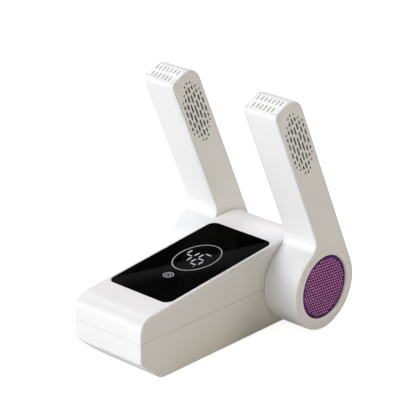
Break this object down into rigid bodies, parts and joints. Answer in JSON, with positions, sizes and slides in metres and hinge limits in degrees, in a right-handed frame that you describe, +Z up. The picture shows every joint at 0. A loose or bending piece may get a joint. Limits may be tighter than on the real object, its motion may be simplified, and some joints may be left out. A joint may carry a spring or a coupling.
{
  "type": "boot dryer",
  "caption": "Folding boot dryer: a flat base with a sloped glass panel and, at each side of its rear drum, a hinged hub with a slotted hot-air arm.",
  "frame": {"origin": "on the floor, in the middle of the width and of the base's length", "axes": "+Z up, -Y to the front of the base, hinge axis along X"},
  "size_m": [0.1618, 0.2472, 0.2396],
  "materials": {
    "shell_white": "satin moulded ABS",
    "arm_white": "satin moulded ABS",
    "panel_black": "polished black acrylic",
    "panel_marks": "lit milky acrylic",
    "light_guide": "milky acrylic",
    "intake_purple": "anodised purple woven wire",
    "screen_black": "black-coated fine wire gauze",
    "dark_plastic": "fine spark-eroded grain",
    "grey_plastic": "matt",
    "heat_plastic": "matt glass-filled",
    "circuit_green": "solder mask",
    "steel": "zinc plated",
    "aluminium": "rolled",
    "ceramic": "fired",
    "brass": "bright",
    "rubber": "matt",
    "acetal": "smooth",
    "copper_core": "varnished winding and core",
    "lead_sleeve": "extruded"
  },
  "bodies": {
    "base": {"lower_shell": "shell_white", "upper_shell": "shell_white", "display_window": "panel_black", "digit_bars": "panel_marks", "display_ring": "panel_marks", "touch_mark": "panel_marks", "light_guide": "light_guide", "led_module": "dark_plastic", "touch_pad": "rubber", "display_board": "circuit_green", "control_board": "circuit_green", "board_screws": "steel", "power_transformer": "copper_core", "capacitors": "grey_plastic", "heater_relays": "dark_plastic", "buzzer": "dark_plastic", "terminal_block": "grey_plastic", "inlet_leads": "lead_sleeve", "power_inlet": "dark_plastic", "inlet_pins": "brass", "case_screws": "steel", "rubber_feet": "rubber", "left_pivot_bush": "acetal", "right_pivot_bush": "acetal"},
    "left_arm": {"left_arm_case": "arm_white", "left_arm_cover": "arm_white", "left_arm_screws": "steel", "left_outlet_screens": "screen_black", "left_intake_mesh": "intake_purple", "left_intake_ring": "dark_plastic", "left_blower_housing": "dark_plastic", "left_blower_motor": "steel", "left_heater_frame": "heat_plastic", "left_heater_bars": "ceramic", "left_heater_fins": "aluminium", "left_thermal_cutout": "heat_plastic", "left_pivot_tube": "acetal", "left_pivot_clip": "steel", "left_pivot_screws": "steel", "left_friction_washer": "steel"},
    "left_fan": {"left_blower_shaft": "steel", "left_blower_impeller": "dark_plastic"},
    "right_arm": {"right_arm_case": "arm_white", "right_arm_cover": "arm_white", "right_arm_screws": "steel", "right_outlet_screens": "screen_black", "right_intake_mesh": "intake_purple", "right_intake_ring": "dark_plastic", "right_blower_housing": "dark_plastic", "right_blower_motor": "steel", "right_heater_frame": "heat_plastic", "right_heater_bars": "ceramic", "right_heater_fins": "aluminium", "right_thermal_cutout": "heat_plastic", "right_pivot_tube": "acetal", "right_pivot_clip": "steel", "right_pivot_screws": "steel", "right_friction_washer": "steel"},
    "right_fan": {"right_blower_shaft": "steel", "right_blower_impeller": "dark_plastic"}
  },
  "joints": [
    {"name": "left_arm_fold", "type": "hinge", "parent": "base", "child": "left_arm", "pos_m": [-0.0616, 0.0814, 0.0434], "axis": [1, 0, 0], "range_deg": [-24.6, 71.2]},
    {"name": "right_arm_fold", "type": "hinge", "parent": "base", "child": "right_arm", "pos_m": [0.0616, 0.0814, 0.0434], "axis": [1, 0, 0], "range_deg": [-24.6, 71.2]},
    {"name": "left_fan_spin", "type": "hinge", "parent": "left_arm", "child": "left_fan", "pos_m": [-0.0655, 0.0814, 0.0434], "axis": [1, 0, 0], "continuous": true},
    {"name": "right_fan_spin", "type": "hinge", "parent": "right_arm", "child": "right_fan", "pos_m": [0.0655, 0.0814, 0.0434], "axis": [1, 0, 0], "continuous": true}
  ]
}
